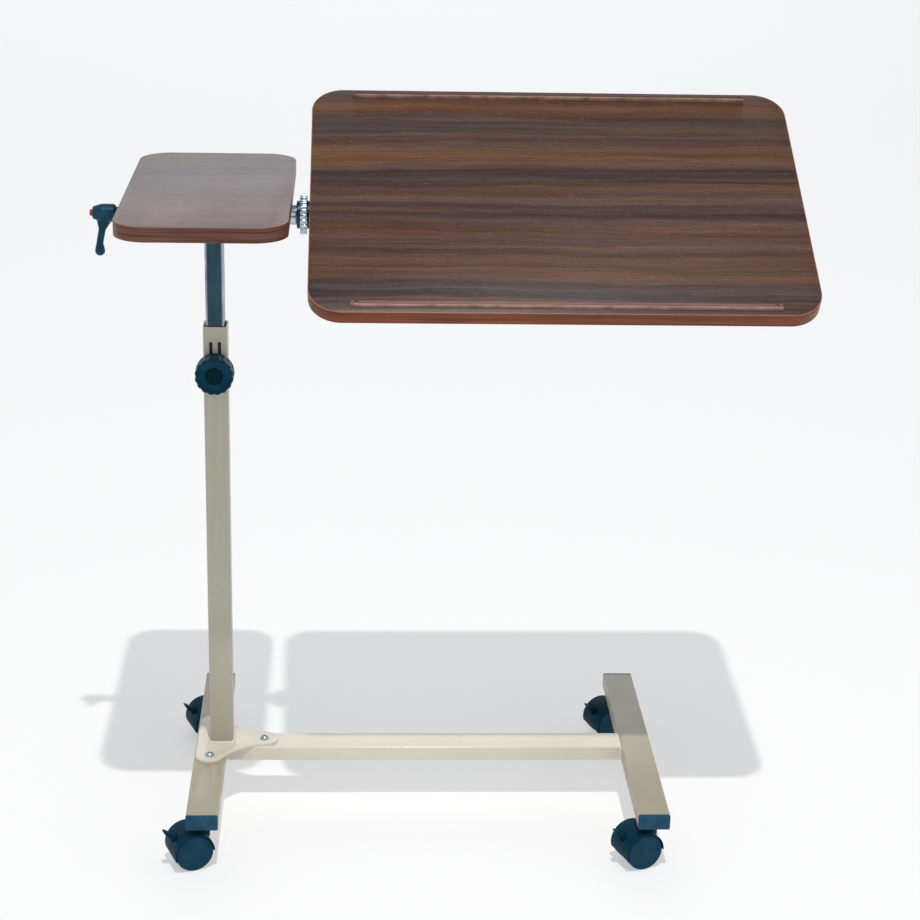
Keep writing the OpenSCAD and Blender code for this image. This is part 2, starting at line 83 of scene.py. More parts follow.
# A board's own frame: x along its grain, y to the rear, z = 0 on its underside.
SIDE_PLACE = Matrix.Translation(Vector(((SIDE_LO.x + SIDE_HI.x) / 2, 0, SIDE_LO.z)))
MAIN_PLACE = (
    Matrix.Translation((MAIN_LO + MAIN_HI) / 2)
    @ Matrix.Rotation(TILT, 4, "X")
    @ Matrix.Translation(Vector((0, 0, -TOP_T / 2)))
)
KNOB_LO, KNOB_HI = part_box("clamp_knob")


# ---------- Mesh helpers ----------

def link(name, mesh, place=None):
    obj = bpy.data.objects.new(name, mesh)
    bpy.context.scene.collection.objects.link(obj)
    if place is not None:
        obj.matrix_world = place
    return obj


def smooth_by_angle(mesh, degrees):
    """Smooth faces, with an edge kept sharp where its two faces meet at more than this angle."""
    bm = bmesh.new()
    bm.from_mesh(mesh)
    limit = math.radians(degrees)
    for f in bm.faces:
        f.smooth = True
    for e in bm.edges:
        e.smooth = not (len(e.link_faces) == 2 and e.calc_face_angle(0) > limit)
    bm.to_mesh(mesh)
    bm.free()


def mesh_of(name, verts, faces, degrees=30):
    mesh = bpy.data.meshes.new(name)
    mesh.from_pydata([tuple(v) for v in verts], [], faces)
    bm = bmesh.new()
    bm.from_mesh(mesh)
    bmesh.ops.remove_doubles(bm, verts=bm.verts, dist=1e-7)
    bmesh.ops.recalc_face_normals(bm, faces=bm.faces)
    bm.to_mesh(mesh)
    bm.free()
    smooth_by_angle(mesh, degrees)
    return mesh


def apply_modifiers(obj):
    graph = bpy.context.evaluated_depsgraph_get()
    done = bpy.data.meshes.new_from_object(obj.evaluated_get(graph))
    obj.modifiers.clear()
    obj.data = done


def soften(node, width, segments=2, angle=32):
    """A copy of a CAD node with its sharp edges broken by a small round, which then stands for it."""
    source = NODES[node]
    mesh = source.data.copy()
    bm = bmesh.new()
    bm.from_mesh(mesh)
    bmesh.ops.remove_doubles(bm, verts=bm.verts, dist=2e-6)
    bmesh.ops.dissolve_limit(bm, angle_limit=math.radians(0.4), verts=bm.verts, edges=bm.edges)
    bm.to_mesh(mesh)
    bm.free()
    if mesh.attributes.get("custom_normal"):
        mesh.attributes.remove(mesh.attributes["custom_normal"])
    obj = link(node + "_soft", mesh)
    bevel = obj.modifiers.new("edges", "BEVEL")
    bevel.width = width
    bevel.segments = segments
    bevel.limit_method = "ANGLE"
    bevel.angle_limit = math.radians(angle)
    bevel.use_clamp_overlap = True
    bevel.miter_outer = "MITER_ARC"
    bpy.context.view_layer.update()
    apply_modifiers(obj)
    smooth_by_angle(obj.data, angle)
    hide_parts(node)
    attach(obj, source["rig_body"])
    return obj


def lathe(name, profile, steps, place, turn=None, degrees=30):
    """Turns a list of (radius, height) about Z. turn(radius, height, angle) may change the radius."""
    verts, faces, rings = [], [], []
    for r, h in profile:
        if r < 1e-9:
            rings.append([len(verts)])
            verts.append((0, 0, h))
            continue
        ring = []
        for i in range(steps):
            a = 2 * math.pi * i / steps
            q = turn(r, h, a) if turn else r
            ring.append(len(verts))
            verts.append((q * math.cos(a), q * math.sin(a), h))
        rings.append(ring)
    for low, high in zip(rings, rings[1:]):
        for i in range(steps):
            j = (i + 1) % steps
            if len(low) == 1 and len(high) == 1:
                continue
            if len(low) == 1:
                faces.append((low[0], high[j], high[i]))
            elif len(high) == 1:
                faces.append((low[i], low[j], high[0]))
            else:
                faces.append((low[i], low[j], high[j], high[i]))
    mesh = mesh_of(name, verts, faces, degrees)
    mesh.transform(place)
    return link(name, mesh)


def outline(w, d, r, inset=0.0, arc=20):
    """Points round a rectangle with round corners, drawn in by the inset."""
    points = []
    for k, (sx, sy) in enumerate(((1, -1), (1, 1), (-1, 1), (-1, -1))):
        cx, cy = sx * (w / 2 - r), sy * (d / 2 - r)
        for i in range(arc + 1):
            a = math.radians(-90 + 90 * k + 90 * i / arc)
            points.append((cx + (r - inset) * math.cos(a), cy + (r - inset) * math.sin(a)))
    return points


def strip(name, w, d, r, section, place, closed_faces=True):
    """Sweeps a closed section of (inset, z) round a board's outline, or fills it top and bottom."""
    rows = [outline(w, d, r, inset) for inset, _ in section]
    count = len(rows[0])
    verts = [(x, y, z) for row, (_, z) in zip(rows, section) for x, y in row]
    faces = []
    loops = len(section) if not closed_faces else len(section) - 1
    for a in range(loops):
        b = (a + 1) % len(section)
        for i in range(count):
            j = (i + 1) % count
            faces.append((a * count + i, a * count + j, b * count + j, b * count + i))
    if closed_faces:
        faces.append(tuple(range(count))[::-1])
        faces.append(tuple((len(section) - 1) * count + i for i in range(count)))
    return link(name, mesh_of(name, verts, faces), place)


def arc_points(cx, cy, r, start, end, n):
    """Points of an arc, angles in degrees."""
    out = []
    for i in range(n + 1):
        a = math.radians(start + (end - start) * i / n)
        out.append((cx + r * math.cos(a), cy + r * math.sin(a)))
    return out


# ---------- Material helpers ----------

def srgb(r, g, b):
    def lin(c):
        c /= 255
        return c / 12.92 if c <= 0.04045 else ((c + 0.055) / 1.055) ** 2.4
    return (lin(r), lin(g), lin(b), 1.0)


def under_gloss(r, g, b, gloss=0.03, light=1.08):
    """The base colour that a glossy surface needs to be seen as this colour under the studio's light."""
    seen = srgb(r, g, b)
    return tuple(max((c - gloss) / light, 0.002) for c in seen[:3]) + (1.0,)


class Look:
    """A Principled material with short calls for its nodes."""

    def __init__(self, name, **sockets):
        self.material = bpy.data.materials.new(name)
        self.material.use_nodes = True
        self.tree = self.material.node_tree
        self.shader = self.tree.nodes["Principled BSDF"]
        for key, value in sockets.items():
            self.shader.inputs[key.replace("_", " ")].default_value = value
        self.place = self.put("TexCoord").outputs["Object"]

    def put(self, kind, ins=(), **props):
        node = self.tree.nodes.new("ShaderNode" + kind)
        for key, value in props.items():
            setattr(node, key, value)
        for key, value in dict(ins).items():
            if isinstance(value, bpy.types.NodeSocket):
                self.tree.links.new(value, node.inputs[key])
            else:
                node.inputs[key].default_value = value
        return node

    def stretch(self, x, y, z, shift=(0, 0, 0)):
        ins = {"Vector": self.place, "Scale": (x, y, z), "Location": shift}
        return self.put("Mapping", ins).outputs["Vector"]

    def noise(self, vector, detail, rough=0.55):
        ins = {"Vector": vector, "Scale": 1.0, "Detail": detail, "Roughness": rough}
        return self.put("TexNoise", ins).outputs["Fac"]

    def ramp(self, fac, stops, mode="LINEAR"):
        node = self.put("ValToRGB", {"Fac": fac})
        band = node.color_ramp
        band.interpolation = mode
        while len(band.elements) < len(stops):
            band.elements.new(0.5)
        for element, (at, colour) in zip(band.elements, stops):
            element.position = at
            element.color = colour if hasattr(colour, "__len__") else (colour, colour, colour, 1)
        return node.outputs["Color"]

    def mix(self, fac, a, b, mode="MIX"):
        node = self.put("Mix", data_type="RGBA", blend_type=mode)
        for socket, value in ((node.inputs[0], fac), (node.inputs[6], a), (node.inputs[7], b)):
            if isinstance(value, bpy.types.NodeSocket):
                self.tree.links.new(value, socket)
            else:
                socket.default_value = value
        return node.outputs[2]

    def math(self, op, a, b=0.0, c=0.0):
        node = self.put("Math", operation=op)
        for socket, value in zip(node.inputs, (a, b, c)):
            if isinstance(value, bpy.types.NodeSocket):
                self.tree.links.new(value, socket)
            else:
                socket.default_value = value
        return node.outputs[0]

    def span(self, value, low, high, to_low, to_high):
        ins = {"Value": value, "From Min": low, "From Max": high, "To Min": to_low, "To Max": to_high}
        return self.put("MapRange", ins).outputs["Result"]

    def part(self, axis):
        return self.put("SeparateXYZ", {"Vector": self.place}).outputs[axis]

    def bump(self, height, strength, distance, under=None):
        ins = {"Height": height, "Strength": strength, "Distance": distance}
        if under is not None:
            ins["Normal"] = under
        return self.put("Bump", ins).outputs["Normal"]

    def done(self, colour=None, rough=None, normal=None):
        for key, value in (("Base Color", colour), ("Roughness", rough), ("Normal", normal)):
            if value is not None:
                self.tree.links.new(value, self.shader.inputs[key])
        return self.material


def paint(obj, material):
    mesh = obj.data
    if mesh.materials:
        for i in range(len(mesh.materials)):
            mesh.materials[i] = material
    else:
        mesh.materials.append(material)
    return obj


# ---------- Materials ----------

def powder_coat(name, colour, dark, rough=0.4, coat=0.2):
    """Baked enamel: a fine orange peel, faint cloudiness, rubbed spots and a few specks."""
    k = Look(name, Metallic=0.0, Coat_Weight=coat, Coat_Roughness=0.16, Specular_IOR_Level=0.45)
    cloud = k.noise(k.stretch(9, 9, 5), 4)
    fine = k.noise(k.stretch(160, 160, 160), 3)
    peel = k.noise(k.stretch(900, 900, 900), 2, 0.5)
    base = k.mix(k.ramp(cloud, [(0.35, 0.0), (0.68, 1.0)]), colour, dark)
    base = k.mix(k.ramp(fine, [(0.66, 0.0), (0.78, 0.35)]), base, dark)
    speck = k.noise(k.stretch(420, 420, 420), 1)
    base = k.mix(k.ramp(speck, [(0.745, 0.0), (0.77, 0.5)]), base, srgb(96, 88, 74))
    scratch = k.noise(k.stretch(380, 380, 16), 3, 0.6)
    rub = k.ramp(scratch, [(0.70, 0.0), (0.76, 1.0)])
    roughness = k.span(k.noise(k.stretch(30, 30, 30), 4), 0.3, 0.7, rough - 0.07, rough + 0.1)
    roughness = k.math("ADD", roughness, k.math("MULTIPLY", rub, 0.08))
    normal = k.bump(peel, 0.16, 0.0004)
    normal = k.bump(cloud, 0.05, 0.004, normal)
    return k.done(base, roughness, normal)


def plated(name, colour, shade, rough, grain=(240, 240, 240), depth=0.10):
    """Plated metal: slight cloudiness, hairline scratches and a roughness that varies."""
    k = Look(name, Metallic=1.0)
    cloud = k.noise(k.stretch(28, 28, 18), 4)
    lines = k.noise(k.stretch(*grain), 4, 0.6)
    spots = k.noise(k.stretch(300, 300, 300), 2)
    base = k.mix(k.ramp(cloud, [(0.3, 0.0), (0.7, 1.0)]), colour, shade)
    base = k.mix(k.ramp(spots, [(0.70, 0.0), (0.80, 0.4)]), base, shade)
    roughness = k.span(lines, 0.3, 0.75, rough - 0.06, rough + 0.14)
    roughness = k.math("ADD", roughness, k.span(cloud, 0.35, 0.7, -0.03, 0.07))
    return k.done(base, roughness, k.bump(lines, depth, 0.0005))


def mast_plating(name, face, shade, bright, centre, half):
    """Plated square tube: dark faces as painted dark reflection, bright round corners as painted reflection,
    lengthwise draw lines and small dings.
    """
    k = Look(name, Metallic=1.0)
    x = k.math("ABSOLUTE", k.math("SUBTRACT", k.part("X"), centre.x))
    y = k.math("ABSOLUTE", k.math("SUBTRACT", k.part("Y"), centre.y))
    lines = k.noise(k.stretch(520, 520, 9), 4, 0.65)
    cloud = k.noise(k.stretch(40, 40, 14), 4)
    base = k.mix(k.ramp(cloud, [(0.3, 0.0), (0.7, 1.0)]), face, shade)
    base = k.mix(k.ramp(lines, [(0.62, 0.0), (0.78, 0.22)]), base, bright)
    # Painted reflection: the round corners are painted bright, in patches, where the plating mirrors the
    # bright surroundings.
    corner = k.span(k.math("MINIMUM", x, y), half - 3.2 * MM, half - 1.6 * MM, 0.0, 1.0)
    patchiness = k.span(k.noise(k.stretch(120, 120, 40), 3), 0.3, 0.6, 0.5, 1.0)
    base = k.mix(k.math("MULTIPLY", corner, patchiness), base, bright)
    dings = k.noise(k.stretch(230, 230, 110), 2)
    base = k.mix(k.ramp(dings, [(0.70, 0.0), (0.76, 0.7)]), base, bright)
    roughness = k.span(lines, 0.3, 0.75, 0.18, 0.36)
    return k.done(base, roughness, k.bump(lines, 0.14, 0.0005))


def moulded(name, colour, lift, rough, level, tint=(0.3, 0.75, 1.0, 1.0)):
    """Moulded plastic: a fine spark-eroded grain, rubbed paler here and there."""
    k = Look(name, Metallic=0.0, Specular_IOR_Level=level, Specular_Tint=tint)
    cloud = k.noise(k.stretch(60, 60, 60), 4)
    fine = k.noise(k.stretch(1500, 1500, 1500), 2, 0.6)
    base = k.mix(k.ramp(cloud, [(0.35, 0.0), (0.75, 1.0)]), colour, lift)
    scuff = k.noise(k.stretch(90, 700, 240), 4, 0.65)
    base = k.mix(k.ramp(scuff, [(0.70, 0.0), (0.80, 0.5)]), base, lift)
    roughness = k.span(cloud, 0.3, 0.7, rough - 0.08, rough + 0.12)
    return k.done(base, roughness, k.bump(fine, 0.3, 0.0003))


def laminate(name, stops, shift, lines, level):
    """Printed walnut laminate: long bands across the board, streaks, fibres, pores and a few dark lines."""
    k = Look(name, Metallic=0.0, Specular_IOR_Level=level)
    drift = k.noise(k.stretch(1.7, 5, 0.1, shift), 2, 0.45)
    ripple = k.noise(k.stretch(9, 40, 0.1, shift), 3, 0.55)
    x = k.part("X")
    y = k.math("ADD", k.part("Y"), k.span(drift, 0.3, 0.7, -0.006, 0.006))
    y = k.math("ADD", y, k.span(ripple, 0.3, 0.7, -0.0024, 0.0024))
    across = k.span(y, TOP_D / 2, -TOP_D / 2, 0, 1)
    bent = k.put("CombineXYZ", {"X": x, "Y": y, "Z": 0.0}).outputs["Vector"]

    def along(sx, sy, detail, rough=0.55, at=0.0):
        ins = {"Vector": bent, "Scale": (sx, sy, 1), "Location": (at + shift[0], at * 3, 0)}
        return k.noise(k.put("Mapping", ins).outputs["Vector"], detail, rough)

    base = k.ramp(across, stops, "EASE")
    streak = along(1.2, 85, 5, 0.65, 2.0)
    tones = [(0.30, 0.70), (0.44, 0.95), (0.58, 1.03), (0.72, 1.20)]
    base = k.mix(1.0, base, k.ramp(streak, tones), "MULTIPLY")
    hue = along(1.1, 60, 4, 0.6, 5.0)
    base = k.mix(k.ramp(hue, [(0.42, 0.0), (0.66, 0.42)]), base, srgb(88, 80, 84))
    warm = along(1.3, 75, 4, 0.6, 9.0)
    base = k.mix(k.ramp(warm, [(0.46, 0.0), (0.70, 0.50)]), base, srgb(124, 84, 56))
    silk = along(3.4, 230, 4, 0.65, 31.0)
    base = k.mix(1.0, base, k.ramp(silk, [(0.30, 0.80), (0.48, 0.98), (0.70, 1.18)]), "MULTIPLY")
    fibre = along(14, 520, 4, 0.65, 13.0)
    base = k.mix(1.0, base, k.ramp(fibre, [(0.28, 0.80), (0.5, 1.0), (0.72, 1.20)]), "MULTIPLY")
    pores = along(60, 800, 2, 0.5, 17.0)
    pore = k.ramp(pores, [(0.58, 0.0), (0.68, 1.0)])
    base = k.mix(k.math("MULTIPLY", pore, 0.5), base, srgb(42, 32, 30))
    flecks = along(90, 700, 2, 0.5, 23.0)
    base = k.mix(k.ramp(flecks, [(0.60, 0.0), (0.72, 0.20)]), base, srgb(150, 126, 112))
    speckle = along(400, 480, 2, 0.6, 41.0)
    base = k.mix(1.0, base, k.ramp(speckle, [(0.30, 0.64), (0.5, 0.89), (0.70, 1.14)]), "MULTIPLY")
    for height, swing, wave, phase, width, first, last, weight in lines:
        bend = k.math("SINE", k.math("MULTIPLY_ADD", x, wave, phase))
        gap = k.math("ABSOLUTE", k.math("SUBTRACT", y, k.math("MULTIPLY_ADD", bend, swing, height)))
        near = k.span(gap, width, 0.0, 0.0, 1.0)
        ends = k.math("MULTIPLY", k.span(x, first, first + 0.08, 0, 1), k.span(x, last, last - 0.08, 0, 1))
        dark = k.math("MULTIPLY", k.math("MULTIPLY", near, ends), weight)
        base = k.mix(dark, base, srgb(42, 32, 34))
    roughness = k.math("ADD", k.span(fibre, 0.3, 0.7, 0.33, 0.43), k.math("MULTIPLY", pore, 0.14))
    roughness = k.math("ADD", roughness, k.span(k.noise(k.stretch(7, 7, 7), 4), 0.35, 0.65, -0.02, 0.04))
    under = k.math("LESS_THAN", k.part("Z"), 0.0015)
    base = k.mix(under, base, srgb(186, 180, 170))
    height = k.math("SUBTRACT", k.math("MULTIPLY", fibre, 0.3), pore)
    return k.done(base, roughness, k.bump(height, 0.10, 0.00025))


def edge_band(name, first, second, dark):
    """Wood-print edging: stripes along the edge, a paler upper arris as painted highlight, and a thin paler
    line along the lower arris.
    """
    k = Look(name, Metallic=0.0, Specular_IOR_Level=0.22)
    wide = k.noise(k.stretch(5, 5, 260), 4, 0.6)
    fine = k.noise(k.stretch(14, 14, 1100), 3, 0.6)
    slow = k.noise(k.stretch(9, 9, 9), 2)
    base = k.mix(k.ramp(slow, [(0.35, 0.0), (0.65, 1.0)]), first, second)
    base = k.mix(k.ramp(wide, [(0.44, 0.0), (0.62, 0.85)]), base, dark)
    base = k.mix(1.0, base, k.ramp(fine, [(0.3, 0.82), (0.5, 1.0), (0.72, 1.16)]), "MULTIPLY")
    z = k.part("Z")
    patchiness = k.noise(k.stretch(70, 70, 20), 4, 0.6)
    # Painted highlight: the upper arris is painted paler, in patches, where it catches the light.
    top = k.span(z, TOP_T - 0.6 * MM, TOP_T - 0.2 * MM, 0.0, 1.0)
    base = k.mix(k.math("MULTIPLY", top, k.span(patchiness, 0.25, 0.6, 0.15, 0.6)), base, srgb(168, 130, 112))
    low = k.span(z, 0.7 * MM, 0.2 * MM, 0.0, 0.4)
    base = k.mix(low, base, srgb(160, 120, 100))
    roughness = k.span(fine, 0.3, 0.7, 0.3, 0.44)
    return k.done(base, roughness, k.bump(fine, 0.08, 0.0003))


def ledge_wood(name, colour, dark):
    """Ledge strips: short-grained pinkish brown, with paler rubbed long edges."""
    k = Look(name, Metallic=0.0, Coat_Weight=0.1, Coat_Roughness=0.3)
    wide = k.noise(k.stretch(7, 260, 260), 4, 0.6)
    fine = k.noise(k.stretch(45, 900, 900), 3, 0.6)
    base = k.mix(k.ramp(wide, [(0.35, 0.0), (0.65, 1.0)]), colour, dark)
    base = k.mix(1.0, base, k.ramp(fine, [(0.3, 0.84), (0.5, 1.0), (0.75, 1.12)]), "MULTIPLY")
    patchiness = k.noise(k.stretch(50, 50, 50), 4)
    y = k.math("ABSOLUTE", k.part("Y"))
    edge = k.math("MULTIPLY", k.span(y, 2.1 * MM, 2.9 * MM, 0, 1), k.span(patchiness, 0.3, 0.6, 0.2, 0.8))
    base = k.mix(edge, base, srgb(186, 150, 134))
    return k.done(base, k.span(fine, 0.3, 0.7, 0.38, 0.5), k.bump(fine, 0.12, 0.0003))


def tread(name):
    """Hard wheel plastic with pale specks of dust and a fine grit bump."""
    k = Look(name, Metallic=0.0, Specular_IOR_Level=0.25, Specular_Tint=(0.3, 0.75, 1.0, 1.0))
    cloud = k.noise(k.stretch(70, 70, 70), 4)
    grit = k.noise(k.stretch(700, 700, 700), 3, 0.65)
    base = k.mix(k.ramp(cloud, [(0.35, 0.0), (0.75, 1.0)]), srgb(10, 44, 64), srgb(22, 58, 80))
    base = k.mix(k.ramp(grit, [(0.62, 0.0), (0.74, 0.35)]), base, srgb(60, 90, 108))
    return k.done(base, k.span(cloud, 0.3, 0.7, 0.42, 0.62), k.bump(grit, 0.2, 0.0004))


BEIGE = powder_coat("beige_enamel", srgb(176, 173, 157), srgb(168, 164, 147))
BEIGE_DARK = powder_coat("beige_enamel_crossbars", srgb(162, 156, 138), srgb(154, 147, 127))
IVORY = powder_coat("ivory_enamel", srgb(209, 205, 190), srgb(201, 196, 180), 0.4, 0.5)
INNER_LO, INNER_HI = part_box("mast_inner")
# The mast's dark face colours are a painted dark reflection, and its bright colour is the painted reflection
# on the corners.
CHROME = mast_plating(
    "mast_plating",
    srgb(60, 82, 96),
    srgb(46, 66, 80),
    srgb(176, 188, 198),
    (INNER_LO + INNER_HI) / 2,
    (INNER_HI.x - INNER_LO.x) / 2,
)
ZINC = plated("zinc_plating", srgb(196, 200, 206), srgb(168, 174, 182), 0.3)
HUB = plated("hub_plating", srgb(214, 222, 230), srgb(150, 168, 184), 0.16, (90, 300, 300), 0.1)
# A darker hub plating, for the fixed disc.
DARK_HUB = plated("dark_hub_plating", srgb(52, 68, 84), srgb(38, 52, 66), 0.24)
STEEL = plated("dark_steel", srgb(60, 74, 88), srgb(40, 52, 64), 0.32)
BRONZE = plated("bronzed_screws", srgb(150, 118, 102), srgb(116, 90, 78), 0.36)
BRASS = plated("brass", srgb(190, 158, 92), srgb(150, 118, 60), 0.3)
CAP = moulded("cap_plastic", srgb(26, 60, 82), srgb(44, 80, 102), 0.5, 0.28)
KNOB = moulded("knob_plastic", srgb(2, 36, 54), srgb(16, 56, 76), 0.44, 0.3, (0.15, 0.7, 1.0, 1.0))
KNOB_DARK = moulded("knob_cap_plastic", srgb(2, 14, 26), srgb(8, 28, 42), 0.4, 0.2, (0.15, 0.7, 1.0, 1.0))
LEVER = moulded("lever_plastic", srgb(10, 42, 62), srgb(26, 64, 84), 0.42, 0.35)
HOOD = moulded("hood_plastic", srgb(0, 38, 56), srgb(6, 50, 70), 0.5, 0.1, (0.1, 0.7, 1.0, 1.0))
BUTTON = moulded("button_plastic", srgb(168, 16, 36), srgb(186, 40, 54), 0.4, 0.4, (1, 0.9, 0.9, 1))
WHEEL = tread("wheel_plastic")
LINER = moulded("liner_plastic", srgb(24, 28, 34), srgb(44, 48, 54), 0.5, 0.3, (1, 1, 1, 1))

MAIN_STOPS = [
    (0.00, under_gloss(84, 66, 58)), (0.035, under_gloss(86, 66, 56)), (0.06, under_gloss(104, 76, 60)),
    (0.11, under_gloss(98, 72, 58)), (0.135, under_gloss(78, 64, 60)), (0.20, under_gloss(84, 70, 66)),
    (0.25, under_gloss(92, 70, 62)), (0.29, under_gloss(106, 78, 60)), (0.35, under_gloss(108, 80, 62)),
    (0.375, under_gloss(72, 60, 58)), (0.43, under_gloss(78, 66, 64)), (0.455, under_gloss(98, 72, 64)),
    (0.50, under_gloss(98, 74, 66)), (0.53, under_gloss(80, 66, 66)), (0.585, under_gloss(82, 66, 64)),
    (0.61, under_gloss(98, 72, 66)), (0.69, under_gloss(98, 73, 66)), (0.73, under_gloss(88, 66, 58)),
    (0.755, under_gloss(104, 76, 62)), (0.80, under_gloss(100, 73, 58)), (0.85, under_gloss(106, 78, 64)),
    (0.875, under_gloss(74, 62, 62)), (0.94, under_gloss(70, 62, 64)), (0.97, under_gloss(82, 64, 58)),
    (1.0, under_gloss(86, 64, 56)),
]
MAIN_LINES = [
    (0.024, 0.004, 7.5, 0.9, 0.0036, 0.02, 0.34, 0.9),
    (0.018, 0.003, 9.0, 2.3, 0.0018, -0.32, 0.1, 0.45),
    (-0.089, 0.0025, 8.0, 0.4, 0.0022, -0.3, 0.05, 0.6),
    (-0.122, 0.003, 6.0, 1.8, 0.0018, -0.32, 0.16, 0.65),
    (-0.132, 0.0025, 9.5, 0.0, 0.0016, 0.06, 0.34, 0.5),
    (-0.036, 0.002, 11.0, 1.0, 0.0014, 0.1, 0.34, 0.4),
]
# The side top's walnut print bands, painted greyer and lilac towards the rear as a painted sheen of reflected
# light.
SIDE_STOPS_WITH_SHEEN = [
    (0.00, under_gloss(82, 68, 66)), (0.10, under_gloss(86, 76, 76)), (0.22, under_gloss(82, 71, 78)),
    (0.34, under_gloss(82, 71, 80)), (0.46, under_gloss(88, 74, 80)), (0.56, under_gloss(84, 72, 78)),
    (0.66, under_gloss(106, 90, 86)), (0.80, under_gloss(108, 92, 88)), (1.0, under_gloss(110, 92, 86)),
]
SIDE_LINES = [
    (0.055, 0.003, 12.0, 0.4, 0.0018, -0.12, 0.08, 0.45),
    (-0.048, 0.002, 14.0, 2.0, 0.0014, -0.06, 0.12, 0.4),
]
WALNUT_MAIN = laminate("walnut_main", MAIN_STOPS, (0.0, 0.0, 0.0), MAIN_LINES, 0.35)
WALNUT_SIDE = laminate("walnut_side", SIDE_STOPS_WITH_SHEEN, (3.7, 1.9, 0.0), SIDE_LINES, 0.6)
EDGE_MAIN = edge_band("edging_main", srgb(128, 70, 38), srgb(116, 62, 36), srgb(82, 40, 24))
EDGE_SIDE = edge_band("edging_side", srgb(108, 70, 56), srgb(96, 62, 52), srgb(64, 36, 32))
LEDGE_FRONT = ledge_wood("ledge_wood_front", srgb(126, 92, 80), srgb(100, 70, 60))
# Painted shade: the rear strip is the same wood as the front one, painted darker for the shade it lies in.
LEDGE_REAR_SHADED = ledge_wood("ledge_wood_rear", srgb(84, 56, 48), srgb(64, 42, 36))


# ---------- Tops ----------

def top(name, w, place, body, faces, band):
    """A board with its edging: the board's arris is eased, and the edging's two long edges are rounded."""
    ease = 0.35 * MM
    inner_r = TOP_R - EDGING
    slab = [(ease, 0), (0, ease), (0, TOP_T - ease), (ease * 0.3, TOP_T - ease * 0.3), (ease, TOP_T)]
    board = strip(name + "_board", w - 2 * EDGING, TOP_D - 2 * EDGING, inner_r, slab, place)
    paint(board, faces)
    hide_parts(name + "_top")
    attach(board, body)
    r = 0.8 * MM
    tuck = 0.02 * MM
    section = [(EDGING, tuck)]
    section += [(r - p[0], r - p[1]) for p in arc_points(0, 0, r, 90, 0, 4)]
    section += [(r - p[0], TOP_T - r + p[1]) for p in arc_points(0, 0, r, 0, 90, 4)]
    section += [(EDGING, TOP_T - tuck)]
    edging = strip(name + "_edge_band", w, TOP_D, TOP_R, section, place, closed_faces=False)
    paint(edging, band)
    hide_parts(name + "_edging")
    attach(edging, body)


top("side", SIDE_W, SIDE_PLACE, "head", WALNUT_SIDE, EDGE_SIDE)
top("main", MAIN_W, MAIN_PLACE, "main_top", WALNUT_MAIN, EDGE_MAIN)


# ---------- Ledges ----------

def ledge(node, material):
    """The strip with its long edges eased, in the board's own frame so that its grain runs along it."""
    lo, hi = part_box(node)
    middle = MAIN_PLACE.inverted() @ ((lo + hi) / 2)
    obj = soften(node, 0.35 * MM, 2, 40)
    place = MAIN_PLACE @ Matrix.Translation(middle)
    obj.data.transform(place.inverted())
    obj.matrix_world = place
    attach(obj, "main_top")
    paint(obj, material)


ledge("ledge_front", LEDGE_FRONT)
ledge("ledge_rear", LEDGE_REAR_SHADED)


def islands(mesh):
    """The vertices of each separate solid of a mesh."""
    bm = bmesh.new()
    bm.from_mesh(mesh)
    seen, found = set(), []
    for start in bm.verts:
        if start.index in seen:
            continue
        seen.add(start.index)
        waiting, island = [start], []
        while waiting:
            v = waiting.pop()
            island.append(v.co.copy())
            for e in v.link_edges:
                other = e.other_vert(v)
                if other.index not in seen:
                    seen.add(other.index)
                    waiting.append(other)
        found.append(island)
    bm.free()
    return found


def cross_heads(obj, place, facing, arm, width, depth):
    """Cuts a cross recess into the head of every screw; facing is 1 for heads on the board's upper side."""
    back = place.inverted()
    verts, faces = [], []
    w = width / 2
    plus = [(arm, -w), (arm, w), (w, w), (w, arm), (-w, arm), (-w, w)]
    plus += [(-x, -y) for x, y in plus]
    for island in islands(obj.data):
        local = [back @ v for v in island]
        end = max(v.z * facing for v in local) * facing
        rim = [v for v in local if abs(v.z - end) < 0.05 * MM]
        x = (min(v.x for v in rim) + max(v.x for v in rim)) / 2
        y = (min(v.y for v in rim) + max(v.y for v in rim)) / 2
        first = len(verts)
        for z in (end - depth * facing, end + depth * facing):
            verts += [place @ Vector((x + a, y + b, z)) for a, b in plus]
        n = len(plus)
        faces += [tuple(range(first, first + n))[::-1], tuple(range(first + n, first + 2 * n))]
        faces += [(first + i, first + (i + 1) % n, first + n + (i + 1) % n, first + n + i) for i in range(n)]
    cutter = link(obj.name + "_cutter", mesh_of(obj.name + "_cutter", verts, faces))
    cut = obj.modifiers.new("recess", "BOOLEAN")
    cut.operation = "DIFFERENCE"
    cut.solver = "EXACT"
    cut.object = cutter
    bpy.context.view_layer.update()
    apply_modifiers(obj)
    bpy.data.objects.remove(cutter)
    smooth_by_angle(obj.data, 40)
    return obj


ledge_screws = soften("ledge_screws", 0.15 * MM, 2)
paint(cross_heads(ledge_screws, MAIN_PLACE, 1, 1.2 * MM, 0.5 * MM, 0.7 * MM), BRONZE)


# ---------- Base, mast and head ----------

def dressed(node, material, width, segments=2, angle=32):
    paint(soften(node, width, segments, angle), material)


